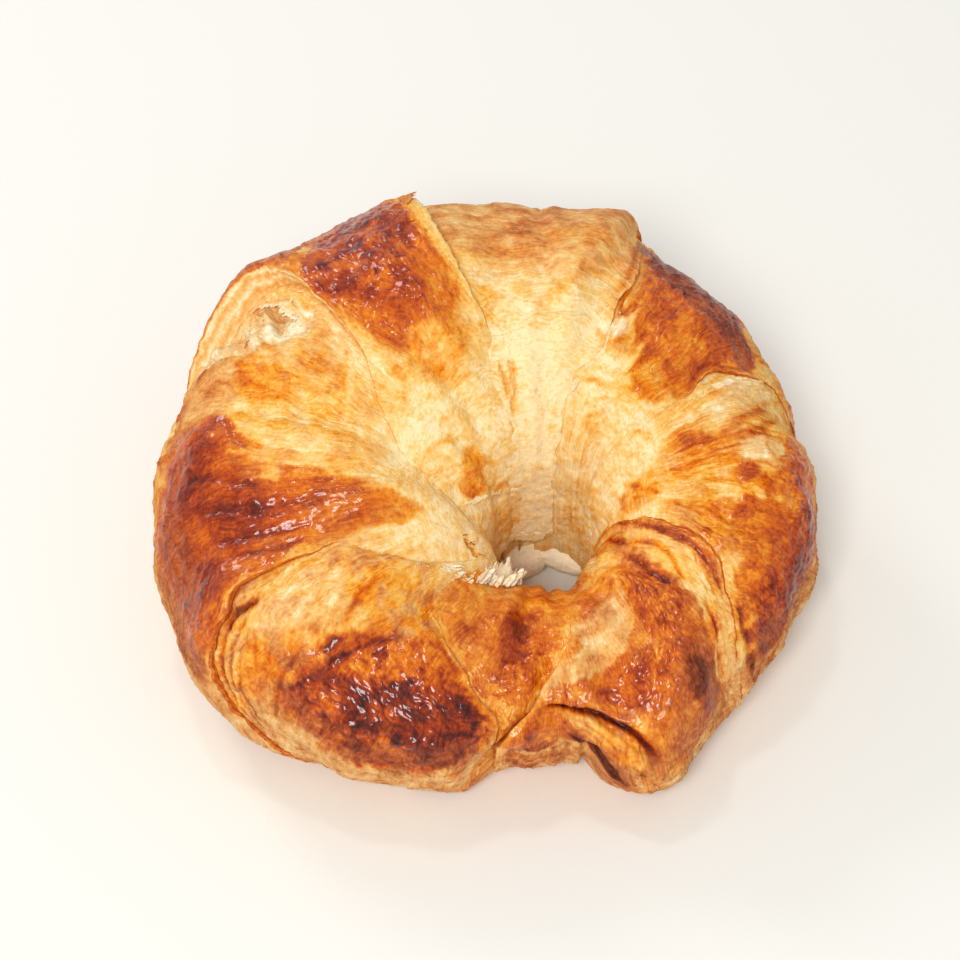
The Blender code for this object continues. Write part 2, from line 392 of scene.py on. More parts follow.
def dressWrap(wrap, grid):  # relief in mm, browning with painted shade in some grooves and under some lips and painted light down the hole, egg wash and shine for every point
    turn, way = grid["turn"], grid["way"]
    points = placeOn(turn, way, grid["rise"], grid["free"])
    warp = cloudNoise(points, 9.0, 3, 305)
    twist = cloudNoise(points, 5.0, 2, 308)
    u = np.radians(turn) * 52 + 1.5 * warp
    v = way * roll["mmPerWay"] + 1.2 * twist
    low = ease(24, 2, way) * (way < 120)
    inside = ease(100, 126, way) * (way < 250)
    under = ease(203, 222, way) + ease(-36, -46, way)
    # fibres lie round the roll on the crust, and along it on the sides and down to the hole
    along = inside * (1 - wrap.get("upright", 0.3) * ease(122, 145, way))
    for patch in wrap.get("flatGrain", ()):
        along = np.maximum(along, patchShare(patch, turn, way, 0))
    turned = np.mod(turn, 360.0)
    crossU = u - smoothCurve(fibreRun["turn"], fibreRun["lean"], turned) * np.clip(v - 18, 0, 40)
    crossV = v - smoothCurve(fibreRun["turn"], fibreRun["climb"], turned)

    stretch = wrap.get("fibreLength", 1.0)

    def fibres(across, length, octaves, seed):
        length = length * stretch
        return (grainNoise(crossU, v, across, length, octaves, seed) * (1 - along)
                + grainNoise(crossV, u, across, 1.6 * length, octaves, seed + 3) * along)

    streak = fibres(1.5, 13.0, 3, 310)
    thread = fibres(0.6, 7.0, 2, 350)
    vein = 1 - 5.0 * np.abs(fibres(1.5, 11.0, 2, 320))
    vein = np.clip(vein, 0, 1) * ease(-0.2, 0.4, fibres(4.0, 12.0, 1, 326))
    smear = fibres(2.6, 11.0, 3, 370)
    cloud = cloudNoise(points, 7.0, 4, 340)
    mottle = cloudNoise(points, 3.2, 3, 345)
    grain = cloudNoise(points, 1.4, 3, 348)
    sheet = fibres(5.0, 15.0, 3, 360)
    sheetHeight, sheetEnd = terraces(sheet * 2.4 + 0.5 * mottle + 0.2 * grain, 0.2)
    ragged = 0.16 * cloud + 0.18 * streak + 0.12 * mottle + 0.05 * thread
    # how brown it is and how much wash it took
    tone = wrap["base"] + 0.10 * cloud + 0 * turn
    wash = wrap.get("washed", 0.85) + 0 * turn
    # on the hole side the tone turns to the wrap's inner tone; for the hole's back wall that is partly
    # painted light
    tone = tone * (1 - inside) + (wrap.get("inner", 0.13) + 0.05 * cloud + 0.08 * streak) * inside
    skirt = 0.8 * low * wrap.get("skirt", 1.0)
    tone = tone * (1 - skirt) + 0.40 * skirt
    wash = wash * (1 - skirt)
    farSide = ease(42, 20, way) * ease(-26, 6, way) * ease(98, 125, turn) * ease(275, 240, turn)
    farSide = 0.9 * farSide * ease(-1.6, 0.6, cloud + 0.3 * mottle)
    tone = tone * (1 - farSide) + 0.54 * farSide
    wash = np.maximum(wash, 0.8 * farSide)
    for patch in wrap["tones"]:
        share = patchShare(patch, turn, way, ragged)
        tone = tone * (1 - share) + patch[5] * share
        if len(patch) > 6:
            wash = wash * (1 - share) + patch[6] * share
        elif patch[1] > 15:
            wash = np.maximum(wash, share)
    bubbled = ease(0.46, 0.64, tone) * wash * wrap["blisters"] * (1 - under)
    golden = ease(-0.05, 0.25, tone) * ease(0.62, 0.42, tone)
    size = wrap["blisterMm"]
    big, bigFlat = blisterField(crossU / size + 0.45 * mottle, v / (1.5 * size) + 0.35 * cloud, 330)
    small = blisterField(crossU / (0.45 * size) + 0.3 * grain, v / (0.7 * size) + 0.3 * mottle, 333)[0]
    puff = ease(-0.3, 0.7, cloudNoise(points, 6.0, 2, 336))
    blister = big * (0.35 + 0.65 * puff)
    drawn = wrap.get("drawn", 1.0)
    relief = bubbled * (0.85 * blister + 0.28 * small + 0.12 * bigFlat - 0.55)
    threads = (0.4 + 0.6 * drawn) * (0.18 * streak + 0.08 * thread + 0.10 * vein)
    relief = relief + (0.16 * drawn * sheetHeight * (1 - 0.8 * inside) + threads) * (1 - 0.75 * bubbled)
    relief = relief + 0.10 * grain + 0.22 * cloud + 0.14 * mottle
    wrinkle = grainNoise(v, u, 1.5, 6.0, 2, 380) + 0.6 * grainNoise(u, v, 1.8, 7.0, 2, 383)
    relief = relief + low * (0.30 * (0.3 + 0.7 * ease(-20, 8, way)) * wrinkle + 0.10 * grain)
    bake = tone + golden * (0.10 * mottle + 0.07 * streak + 0.06 * thread
                            + 0.14 * drawn * ease(0.15, 0.7, smear))
    bake = bake - golden * (0.12 * drawn * ease(0.1, 0.7, -smear) + 0.06 * vein - 0.05 * drawn * sheetEnd)
    bake = bake + 0.05 * grain
    dapple = cloudNoise(points, 2.6, 3, 390)
    bake = bake + golden * (1 - drawn) * 0.12 * dapple
    wash = wash * (1 - golden * wrap.get("floury", 0.3) * ease(-0.3, 0.7, dapple + 0.5 * cloud))
    bake = bake + bubbled * (0.13 * (0.6 - bigFlat) * wrap["crease"] + 0.14 * mottle + 0.12 * streak
                             + 0.10 * cloud)
    bake = bake - bubbled * 0.14 * ease(0.35, 0.8, small * puff)
    bake = bake - low * 0.08 * np.clip(wrinkle, -1, 1.2)
    # thin layers and pale strips where one wrap comes out from under another
    for name, distance, lower in (
        (wrap["start"], grid["fromStart"], edges[wrap["start"]]["over"] == "before"),
        (wrap["end"], grid["fromEnd"], edges[wrap["end"]]["over"] == "after"),
    ):
        fresh = (1 - under) * edgeShow(name, way)
        if lower:
            layers = wrap.get("layers", {}).get(name, 1)
            place = (distance + 1.6 * cloud + 1.0 * mottle + 1.2 * streak) / 1.7
            height, line = terraces(np.clip(layers - place, 0, layers), 0.25)
            relief = relief + 0.28 * height * fresh
            shown = (place < layers) * (place > 0)
            strip = ease(layers * 1.3 + 1, layers * 1.3 - 1.5, distance + 1.2 * cloud + 0.6 * streak)
            strip = strip * wrap.get("strip", 0.5) * fresh
            bake = bake * (1 - strip) + (0.17 + 0.10 * thread
                                         + 0.12 * streak) * strip + 0.10 * line * shown * fresh
        else:
            rim = ease(1.5, 0.2, distance + 0.5 * grain) * fresh
            rim = rim * edges[name].get("rim", 0.5)
            bake = bake * (1 - rim) + 0.24 * rim
    for patch in wrap.get("dents", ()):  # as a tone patch, with a rise in mm and how torn its floor is
        share = patchShare(patch, turn, way, 0.5 * ragged)
        relief = relief + share * (patch[5]
                                   + patch[6] * (0.9 * sheetHeight + 0.5 * np.abs(streak) + 0.3 * mottle))
        bake = bake - share * patch[6] * (0.05 * sheetHeight + 0.06 * sheetEnd)
    # lines change the tone along a path: streaks and layer lines, and along some grooves painted shade
    for path, width, toneChange, rise in wrap.get("lines", ()):
        distance, _, place = pathDistance(path, turn, way)
        taper = ease(0, 0.15, place) * ease(1, 0.85, place)
        mark = np.exp(-((distance * (1 + 0.3 * grain + 0.2 * mottle) / width) ** 2)) * taper
        bake = bake + toneChange * mark
        relief = relief + rise * mark
    for path, height, reach, toneChange in wrap.get("ledges", ()):
        distance, side, place = pathDistance(path, turn, way)
        taper = ease(0, 0.12, place) * ease(1, 0.88, place)
        signed = distance * side + 0.3 * grain + 0.3 * mottle
        up = ease(-0.35, 0.35, signed) * np.exp(-np.maximum(signed, 0) / reach)
        down = (signed < 0) * np.exp(signed / 1.6)
        relief = relief + height * taper * (up - 0.6 * down)
        # painted shade: the lower sheet is darkened just below the step
        bake = bake + toneChange * taper * np.exp(-((signed + 0.6) / 0.7) ** 2)
    wallStripe = 0.5 + 0.5 * np.sin(grid["wall"] * 20 + 2.0 * cloud + 1.5 * streak)
    onWall = grid["wall"] > 0
    cut = {"wall": 0.28, "wallWash": 0.6, "wallStripe": 0.16, "crustLine": 0.0}
    for key, usual in cut.items():
        cut[key] = np.where(grid["share"] < 0.5, edges[wrap["start"]].get(key, usual),
                            edges[wrap["end"]].get(key, usual))
    # a lip's cut wall takes its edge's tone; where that tone is dark it is partly painted shade under the
    # lip
    wallTone = cut["wall"] + cut["wallStripe"] * wallStripe + 0.06 * grid["wall"]
    wallTone = wallTone + cut["crustLine"] * np.exp(-((grid["wall"] / 0.14) ** 2))
    melted = ease(0.6, 0.2, edgeShow(wrap["start"], way)) * (grid["share"] < 0.5)
    melted = melted + ease(0.6, 0.2, edgeShow(wrap["end"], way)) * (grid["share"] > 0.5)
    bake = np.where(onWall, wallTone * (1 - melted) + bake * melted, bake)
    relief = np.where(onWall, 0.16 * (wallStripe - 0.5) + relief * (1 - grid["wall"]), relief)
    wash = np.where(onWall, cut["wallWash"] * (1 - melted) + wash * melted, wash)
    bake = bake * (1 - under) + (0.46 + 0.10 * cloud + 0.07 * grain) * under
    wash = np.clip(wash, 0, 1) * (1 - 0.8 * under)
    glaze = wash * ease(0.25, 0.60, tone) * (1 - under) * (1 - onWall) * (1 - 0.5 * low)
    fade = ease(0.0, 3.0, points[..., 2]) * (1 - grid["hidden"])
    return {"relief": relief * fade, "bake": np.clip(bake, 0, 1), "wash": wash, "glaze": glaze,
            "u": u, "v": v, "flat": along}


def ringPoints(grid, relief):  # the skin's columns, drawn in to the middle of the roll at both ends
    turn, way, free = grid["turn"], grid["way"], grid["free"]
    radius, level, out, up, middle, halfHeight = section(turn, way)
    total = grid["rise"] * free + relief
    radius = radius + total * out
    for centre, halfTurn, depth, top in notches:
        foot = ease(top + 12, top - 6, way) + ease(292, 312, way)
        radius = radius - depth * foot * ease(1.3, 0.2,
                                              np.abs(np.mod(turn - centre + 180, 360) - 180) / halfTurn)
    level = np.maximum(level + total * up, 0)
    core = halfHeight * roll["sink"]

    def ring(column, pull):
        a = np.radians(turn[column])
        r = radius[column] * (1 - pull) + middle[column] * pull
        z = level[column] * (1 - pull) + core[column] * pull
        return np.stack([-r * np.sin(a), -r * np.cos(a), z], -1)

    rings = [ring(0, pull) for pull in endPulls]
    rings += [ring(column, 0) for column in range(len(turn))]
    rings += [ring(-1, pull) for pull in endPulls[::-1]]
    return np.array(rings)


endPulls = (0.9, 0.55, 0.12)
# where the foot of the roll is drawn in: turn, half width in degrees, depth in mm, top of it in way
notches = ((347.6, 2.4, 3.4, 8), (352, 5.0, 2.2, 8), (11, 7.0, 3.8, 10), (340, 5.5, -2.4, 6),
           (331, 6.0, -2.0, 6))


def gridFaces(columns, rows):
    column = np.arange(columns - 1)[:, None]
    row = np.arange(rows)[None, :]
    above = (row + 1) % rows
    faces = np.stack([column * rows + row, column * rows + above,
                      (column + 1) * rows + above, (column + 1) * rows + row], -1)
    return faces.reshape(-1, 4)


def makePiece(name, points, faces, material, attributes):
    mesh = bpy.data.meshes.new(name)
    mesh.from_pydata(points.tolist(), [], faces)
    mesh.shade_smooth()
    for key, values in attributes.items():
        values = np.asarray(values, np.float32)
        kind = "FLOAT" if values.ndim == 1 else "FLOAT_VECTOR"
        layer = mesh.attributes.new(key, kind, "POINT")
        layer.data.foreach_set("value" if values.ndim == 1 else "vector", values.ravel())
    mesh.materials.append(material)
    piece = bpy.data.objects.new(name, mesh)
    bpy.context.scene.collection.objects.link(piece)
    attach(piece, "root")
    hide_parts("croissant")
    return piece


def linear(hexColour):  # sRGB hex to the linear values that shaders take
    channels = [int(hexColour[i:i + 2], 16) / 255 for i in (1, 3, 5)]
    return [c / 12.92 if c <= 0.04045 else ((c + 0.055) / 1.055) ** 2.4 for c in channels] + [1.0]


def addNode(tree, kind, settings=None, links=None):
    node = tree.nodes.new(kind)
    for key, value in (settings or {}).items():
        if isinstance(key, int) or key in node.inputs:
            node.inputs[key].default_value = value
        else:
            setattr(node, key, value)
    for key, socket in (links or {}).items():
        tree.links.new(socket, node.inputs[key])
    return node


def perMm(size):  # noise scale whose features are this many mm across
    return 1000.0 / size


def fillRamp(node, stops):
    ramp = node.color_ramp
    while len(ramp.elements) > 1:
        ramp.elements.remove(ramp.elements[-1])
    ramp.elements[0].position = stops[0][0]
    ramp.elements[0].color = linear(stops[0][1])
    for position, colour in stops[1:]:
        ramp.elements.new(position).color = linear(colour)


# Laminated butter dough, egg washed and baked.  Washed crust goes from butter yellow through orange to
# mahogany under a thin glaze; dry dough bakes from cream through tan to a dusty brown.
crust = {
    "dry": ((0.00, "#FFF5DA"), (0.15, "#F2CD93"), (0.30, "#E7B070"), (0.45, "#D08C4F"),
            (0.60, "#AD6338"), (0.75, "#854526"), (0.90, "#5A2A1C"), (1.00, "#3A1C16")),
    "washed": ((0.00, "#FDE2A6"), (0.12, "#F9CD7A"), (0.25, "#F4B348"), (0.38, "#EC911C"),
               (0.50, "#DC6E00"), (0.62, "#C04E00"), (0.75, "#972F00"), (0.87, "#6D1B02"),
               (1.00, "#3E0F07")),
    "speckMm": 0.8,
    "fibreMm": (0.45, 5.0),
    "bumpMm": 0.18,
    "roughness": (0.65, 0.36),
    "fineTone": 0.42,
    "glaze": 0.8,
}


def bakedCrust():
    material = bpy.data.materials.new("bakedCrust")
    material.use_nodes = True
    tree = material.node_tree
    shader = tree.nodes["Principled BSDF"]
    shader.inputs["IOR"].default_value = 1.45
    shader.inputs["Specular IOR Level"].default_value = 0.12
    shader.inputs["Subsurface Weight"].default_value = 0.06
    shader.inputs["Subsurface Radius"].default_value = (0.004, 0.002, 0.001)
    shader.inputs["Subsurface Scale"].default_value = 0.5
    shader.inputs["Coat Roughness"].default_value = 0.11
    shader.inputs["Coat IOR"].default_value = 1.42
    bake = addNode(tree, "ShaderNodeAttribute", {"attribute_name": "bake"})
    wash = addNode(tree, "ShaderNodeAttribute", {"attribute_name": "wash"})
    glaze = addNode(tree, "ShaderNodeAttribute", {"attribute_name": "glaze"})
    flat = addNode(tree, "ShaderNodeAttribute", {"attribute_name": "flatGrain"})
    lay = addNode(tree, "ShaderNodeAttribute", {"attribute_name": "lay"})
    place = addNode(tree, "ShaderNodeTexCoord")
    speck = addNode(tree, "ShaderNodeTexNoise",
                    {"Scale": perMm(crust["speckMm"]), "Detail": 4.0, "Roughness": 0.65},
                    {"Vector": place.outputs["Object"]})
    narrow, long = crust["fibreMm"]
    fibres = []
    for size in ((1 / narrow, 1 / long, 0.0), (1 / long, 1 / narrow, 0.0)):
        drawn = addNode(tree, "ShaderNodeVectorMath", {"operation": "MULTIPLY", 1: size},
                        {0: lay.outputs["Vector"]})
        fibres.append(addNode(tree, "ShaderNodeTexNoise", {"Scale": 1.0, "Detail": 3.0, "Roughness": 0.6},
                              {"Vector": drawn.outputs["Vector"]}))
    fibre = addNode(tree, "ShaderNodeMix", {"data_type": "FLOAT"},
                    {0: flat.outputs["Fac"], 2: fibres[0].outputs["Fac"], 3: fibres[1].outputs["Fac"]})
    fine = addNode(tree, "ShaderNodeMath", {"operation": "ADD"},
                   {0: fibre.outputs[0], 1: speck.outputs["Fac"]})
    shifted = addNode(tree, "ShaderNodeMath",
                      {"operation": "MULTIPLY_ADD", 1: crust["fineTone"], 2: -crust["fineTone"]},
                      {0: fine.outputs[0]})
    browned = addNode(tree, "ShaderNodeMath", {"operation": "ADD", "use_clamp": True},
                      {0: bake.outputs["Fac"], 1: shifted.outputs[0]})
    dry = addNode(tree, "ShaderNodeValToRGB", {}, {"Fac": browned.outputs[0]})
    washed = addNode(tree, "ShaderNodeValToRGB", {}, {"Fac": browned.outputs[0]})
    fillRamp(dry, crust["dry"])
    fillRamp(washed, crust["washed"])
    colour = addNode(tree, "ShaderNodeMix", {"data_type": "RGBA"},
                     {0: wash.outputs["Fac"], 6: dry.outputs["Color"], 7: washed.outputs["Color"]})
    tree.links.new(colour.outputs[2], shader.inputs["Base Color"])
    rough = addNode(tree, "ShaderNodeMapRange",
                    {"To Min": crust["roughness"][0], "To Max": crust["roughness"][1]},
                    {"Value": glaze.outputs["Fac"]})
    tree.links.new(rough.outputs["Result"], shader.inputs["Roughness"])
    coat = addNode(tree, "ShaderNodeMath", {"operation": "MULTIPLY", 1: crust["glaze"]},
                   {0: glaze.outputs["Fac"]})
    tree.links.new(coat.outputs[0], shader.inputs["Coat Weight"])
    bump = addNode(tree, "ShaderNodeBump", {"Strength": 0.9, "Distance": crust["bumpMm"] * 0.001},
                   {"Height": fine.outputs[0]})
    tree.links.new(bump.outputs["Normal"], shader.inputs["Normal"])
    return material


# the back wall of the hole draws in under itself at its foot
holeFoot = (155, 222, 75, 17, 0, -1.6, 0.1)

# Each tone patch: turn, way, half widths in degrees, lean in turn per way, browning, and sometimes wash.
# Each line: its places, half width in mm, change of tone (browning, and along some grooves painted shade),
# rise in mm.  Each ledge: places, step and reach in mm, painted shade at the foot of the step, with the
# higher sheet on the left of the line's run.
leftTipWrap = {
    "name": "leftTipWrap", "start": "tips", "end": "leftTwo", "swell": 1.0, "columns": 110,
    "base": 0.48, "blisters": 0.9, "blisterMm": 2.4, "crease": 0.6, "strip": 0.5, "inner": 0.44,
    "drawn": 0.5,
    "upright": 1.0, "skirt": 0.35, "layers": {"leftTwo": 2},
    "tones": ((-6, 120, 22, 24, 0, 0.46), (3, 72, 14, 26, 0, 0.56), (12, 95, 6, 14, 0.1, 0.72),
              (7, 76, 8, 8, 0, 0.68), (5, 106, 5, 8, 0, 0.60)),
}
leftTwoWrap = {
    "name": "leftTwoWrap", "start": "leftTwo", "end": "leftOne", "swell": 2.4, "columns": 130,
    "base": 0.30, "blisters": 1.0, "blisterMm": 2.6, "crease": 1.0, "drawn": 0.3, "floury": 0.7,
    "layers": {"leftOne": 3}, "strip": 0.45,
    "tones": ((42, 88, 14, 18, 0.3, 0.34), (40, 78, 9, 8, 0.2, 0.42), (60, 66, 7, 28, 0.0, 0.24, 0.6),
              (60, 26, 6, 30, -0.15, 0.40), (57, 90, 5, 10, 0.2, 0.34), (33, 4, 21, 14, 0, 0.36, 0.05),
              (32, 38, 21, 36, 0, 0.69), (28, 62, 9, 14, 0.3, 0.66), (44, 58, 7, 14, 0, 0.66),
              (32, 22, 19, 12, 0, 0.72, 0.6), (21, 44, 6, 13, 0.1, 0.82), (33, 50, 5, 9, 0, 0.80),
              (44, 36, 6, 12, 0, 0.82), (28, 30, 5, 8, 0, 0.84), (38, 26, 5, 6, 0, 0.82),
              (37, 60, 4, 7, 0, 0.56),
              (62.5, 26, 2.6, 32, 0.1, 0.26, 0.8)),
    "lines": (
        (((57, 88), (54.5, 80), (52.7, 73), (51.2, 66)), 0.6, 0.26, -0.35),
        (((50.9, 63), (50.5, 58), (50.6, 54)), 0.8, 0.34, -0.35),
        (((66, 57), (66.6, 47), (65.2, 38)), 0.8, 0.46, -0.8),
        (((67.2, 62), (65.4, 42), (63.6, 28), (61.8, 14), (58.8, 0), (54, -12)), 0.45, 0.34, -0.6),
        (((65.0, 52), (63.4, 40), (62.0, 28), (60.2, 14), (57.2, 0), (52.6, -12)), 0.4, 0.28, -0.5),
        (((63.2, 50), (61.4, 36), (60.0, 24), (58.2, 10), (55, -4)), 0.4, 0.24, -0.4),
        (((53.5, 52), (53.5, 38), (53, 24), (52.5, 10)), 0.6, 0.22, -0.5),
        (((53, 26), (50.5, 38), (48.5, 50), (46.5, 62), (44, 70), (39, 77)), 0.6, 0.20, -0.3),
        (((58, 95), (54, 84), (52, 76)), 0.9, 0.16, -0.1),
        (((47, 104), (43, 92), (38, 84)), 0.8, 0.12, -0.2),
        (((40, 108), (35, 96), (29, 86)), 0.7, 0.12, -0.2),
    ),
}
leftOneWrap = {
    "name": "leftOneWrap", "start": "leftOne", "end": "leftZero", "swell": 2.6, "columns": 165,
    "base": 0.17, "blisters": 0.5, "blisterMm": 3.2, "crease": 0.4, "drawn": 0.6, "floury": 0.4,
    "inner": 0.09,
    "layers": {"leftZero": 3}, "strip": 0.7,
    "tones": ((104, 76, 10, 24, 0, 0.22), (111, 60, 4.5, 26, 0, 0.36), (117.5, 82, 3.0, 7, -0.1, 0.36),
              (108, 42, 9, 15, 0, 0.34, 0.4), (103, 28, 8, 8, 0, 0.46, 0.7), (75, 12, 12, 15, 0, 0.58, 0.3),
              (124, 52, 5, 24, 0.05, 0.22, 0.3), (79, 98, 5, 22, -0.15, 0.46), (80, 84, 9, 24, 0, 0.52),
              (83, 46, 15.5, 30, 0, 0.64), (71, 38, 6, 18, 0.10, 0.62, 0.9),
              (73, 64, 4, 11, 0.05, 0.56, 0.9), (99, 52, 4, 9, 0, 0.64), (82, 58, 5, 11, 0, 0.76),
              (90, 40, 6, 12, 0, 0.74), (74, 38, 4, 12, 0, 0.76), (95, 46, 3.5, 10, 0, 0.74),
              (80, 28, 9, 9, 0, 0.72, 0.7), (121, 42, 8, 24, 0.1, 0.13, 0.3), (124, 62, 4, 10, 0, 0.03, 0.3),
              (119, 30, 5, 9, 0, 0.34, 0.3),
              (113, 92, 7, 4, -1, 0.30)),
    "dents": ((122, 48, 7.5, 22, 0.1, -2.2, 0.9), (103, 26, 5, 8, 0, -0.6, 0.6), holeFoot),
    "lines": (
        (((110, 36), (113, 43), (115.5, 50), (118, 57), (122, 64)), 1.1, 0.20, 0.3),
        (((63, 135), (57, 138), (52, 137)), 0.6, 0.24, -0.8),
        (((92, 40), (91, 52), (88.5, 62), (86.5, 72)), 0.9, 0.14, -0.3),
        (((86, 42), (84.5, 56), (83, 68), (82, 80), (81, 94)), 1.0, 0.16, -0.45),
        (((80, 46), (78, 60), (77, 72), (77, 86)), 0.8, 0.16, -0.4),
        (((83, 60), (81, 70), (79.5, 84)), 0.6, 0.10, -0.35),
        (((76, 50), (74.5, 60), (73.8, 70), (74, 82)), 0.7, 0.20, -0.4),
        (((108, 122), (104, 120), (100, 128), (95, 132)), 0.8, -0.1, 0.5),
    ),
    # a raised sheet's step, with painted shade at its foot
    "ledges": (
        (((97, 40), (98.5, 50), (101, 58), (96, 63), (93, 68)), 0.5, 3.0, 0.1),
    ),
}
leftZeroWrap = {
    "name": "leftZeroWrap", "start": "leftZero", "end": "centreLeft", "swell": 2.0, "columns": 145,
    "base": 0.24, "blisters": 0.8, "blisterMm": 2.4, "crease": 0.7,
    "dents": (holeFoot,), "floury": 0.2,
    "tones": ((141, 112, 12, 12, -0.1, 0.33), (112, 147, 15, 7, 0, 0.37), (101, 147, 4, 6, 0, 0.42),
              (146, 98, 9, 12, 0, 0.50),
              (136, 92, 6, 14, -0.2, 0.56), (144, 66, 14.5, 36, 0, 0.64), (152, 88, 5, 14, 0, 0.52),
              (137, 36, 18, 14, 0, 0.60, 0.7), (152, 66, 3, 8, 0, 0.80), (144, 67, 4, 8, 0, 0.78),
              (137, 70, 5, 10, 0, 0.76), (148, 76, 4, 6, 0, 0.80), (146, 50, 6, 8, 0, 0.74),
              (137, 50, 2.2, 6, -0.5, 0.36, 0.7)),
    "lines": (
        (((118, 163), (132, 166), (146, 170), (160, 172)), 0.7, 0.22, -0.2),
    ),
}
centreWrap = {
    "name": "centreWrap", "start": "centreLeft", "end": "centreRight", "swell": 1.4, "columns": 130,
    "base": 0.14, "blisters": 0.2, "blisterMm": 3.4, "crease": 0.5,
    "dents": (holeFoot, (189, 50, 8, 44, 0, 2.0, 0.0)), "drawn": 0.35, "floury": 0.5, "fibreLength": 0.45,
    # its hole side is nearly unbrowned: the dough's own pale colour, made paler still as painted light deep
    # in the hole
    "flatGrain": ((180, 85, 34, 46, 0),), "layers": {"centreLeft": 2}, "inner": 0.02,
    "tones": ((180, 58, 34, 30, 0, 0.34, 0.35), (178, 67, 5, 6, 0, 0.42, 0.5),
              (188, 76, 10, 8, 0, 0.36, 0.6),
              (170, 80, 9, 4, 0, 0.38, 0.6), (183, 52, 12, 7, 0, 0.40, 0.4),
              (192, 114, 9, 12, 0, 0.05), (164, 104, 4, 8, 0, 0.20)),
    "lines": (
        # painted shadow along a fold in the centre sheet, over a shallow groove
        (((166, 124), (165, 130), (163, 137), (160.5, 145)), 0.6, 0.25, -0.7),
        (((160, 126), (160.5, 132), (160, 138)), 0.5, 0.18, -0.5),
        (((199.5, 58), (201, 66), (201.8, 75), (201.6, 84), (200.6, 92)), 1.1, 0.20, -0.3),
    ),
}
rightOneWrap = {
    "name": "rightOneWrap", "start": "centreRight", "end": "rightTwo", "swell": 2.0, "columns": 115,
    "base": 0.20, "blisters": 0.8, "blisterMm": 2.4, "crease": 0.6, "upright": 0.8,
    "tones": ((222, 114, 10, 12, 0, 0.12), (212, 156, 7, 22, 0, 0.08), (214, 86, 7, 14, 0.1, 0.48),
              (226, 90, 10, 22, 0, 0.52), (220, 64, 17, 29, 0, 0.58), (216, 52, 16, 13, 0, 0.78, 0.55),
              (230, 50, 5, 8, 0, 0.72, 0.6), (204.5, 90, 2.5, 12, 0.2, 0.44), (233, 76, 4, 10, 0, 0.60),
              (226, 105, 6, 8, 0, 0.40), (207, 101, 3.5, 6, 0, 0.22, 0.1)),
    "lines": (
        (((236.5, 92), (232.5, 80), (235.5, 62), (238, 44)), 0.9, 0.14, -0.3),
        (((204.5, 96), (206.5, 90), (207, 84)), 0.7, 0.25, -0.2),
    ),
}
rightTwoWrap = {
    "name": "rightTwoWrap", "start": "rightTwo", "end": "rightThree", "swell": 2.2, "columns": 130,
    "base": 0.22, "blisters": 0.8, "blisterMm": 2.6, "crease": 0.7, "floury": 0.4,
    "layers": {"rightTwo": 2, "rightThree": 2}, "strip": 0.4,
    "tones": ((243, 66, 5, 20, 0.1, 0.16, 0.5), (262, 100, 9, 16, 0, 0.36), (272, 74, 15, 24, 0, 0.34),
              (284, 84, 8, 26, 0.1, 0.42), (268, 124, 8, 12, 0.2, 0.31), (282, 8, 26, 16, 0, 0.46, 0.2),
              (278, 42, 21, 20, 0, 0.58), (284, 28, 16, 14, 0, 0.70), (262, 44, 5, 12, 0, 0.62),
              (288, 36, 6, 9, 0, 0.76), (272, 34, 6, 8, 0, 0.72), (294, 18, 7, 9, 0, 0.74, 0.6),
              (260, 69, 3.5, 8, 0, 0.15, 0.3),
              (259, 60, 2.5, 5, 0, 0.30, 0.5), (276, 66, 4, 8, 0, 0.60), (266, 72, 3, 6, 0, 0.58)),
    "lines": (
        (((243, 45), (248, 60), (252, 75), (256, 88)), 1.3, 0.25, 0.1),
        (((246, 40), (251, 54), (255, 68)), 0.8, 0.20, -0.2),
        (((253, 58), (256.5, 70), (257.4, 78), (256, 93), (250, 116)), 1.3, 0.20, 0.1),
        (((258, 138), (263, 129), (268.7, 121), (273, 112)), 0.5, 0.18, -0.25),
        (((297, 52), (299.6, 42), (301.4, 30), (302.4, 16), (302.6, 2)), 1.0, 0.28, -0.4),
    ),
}
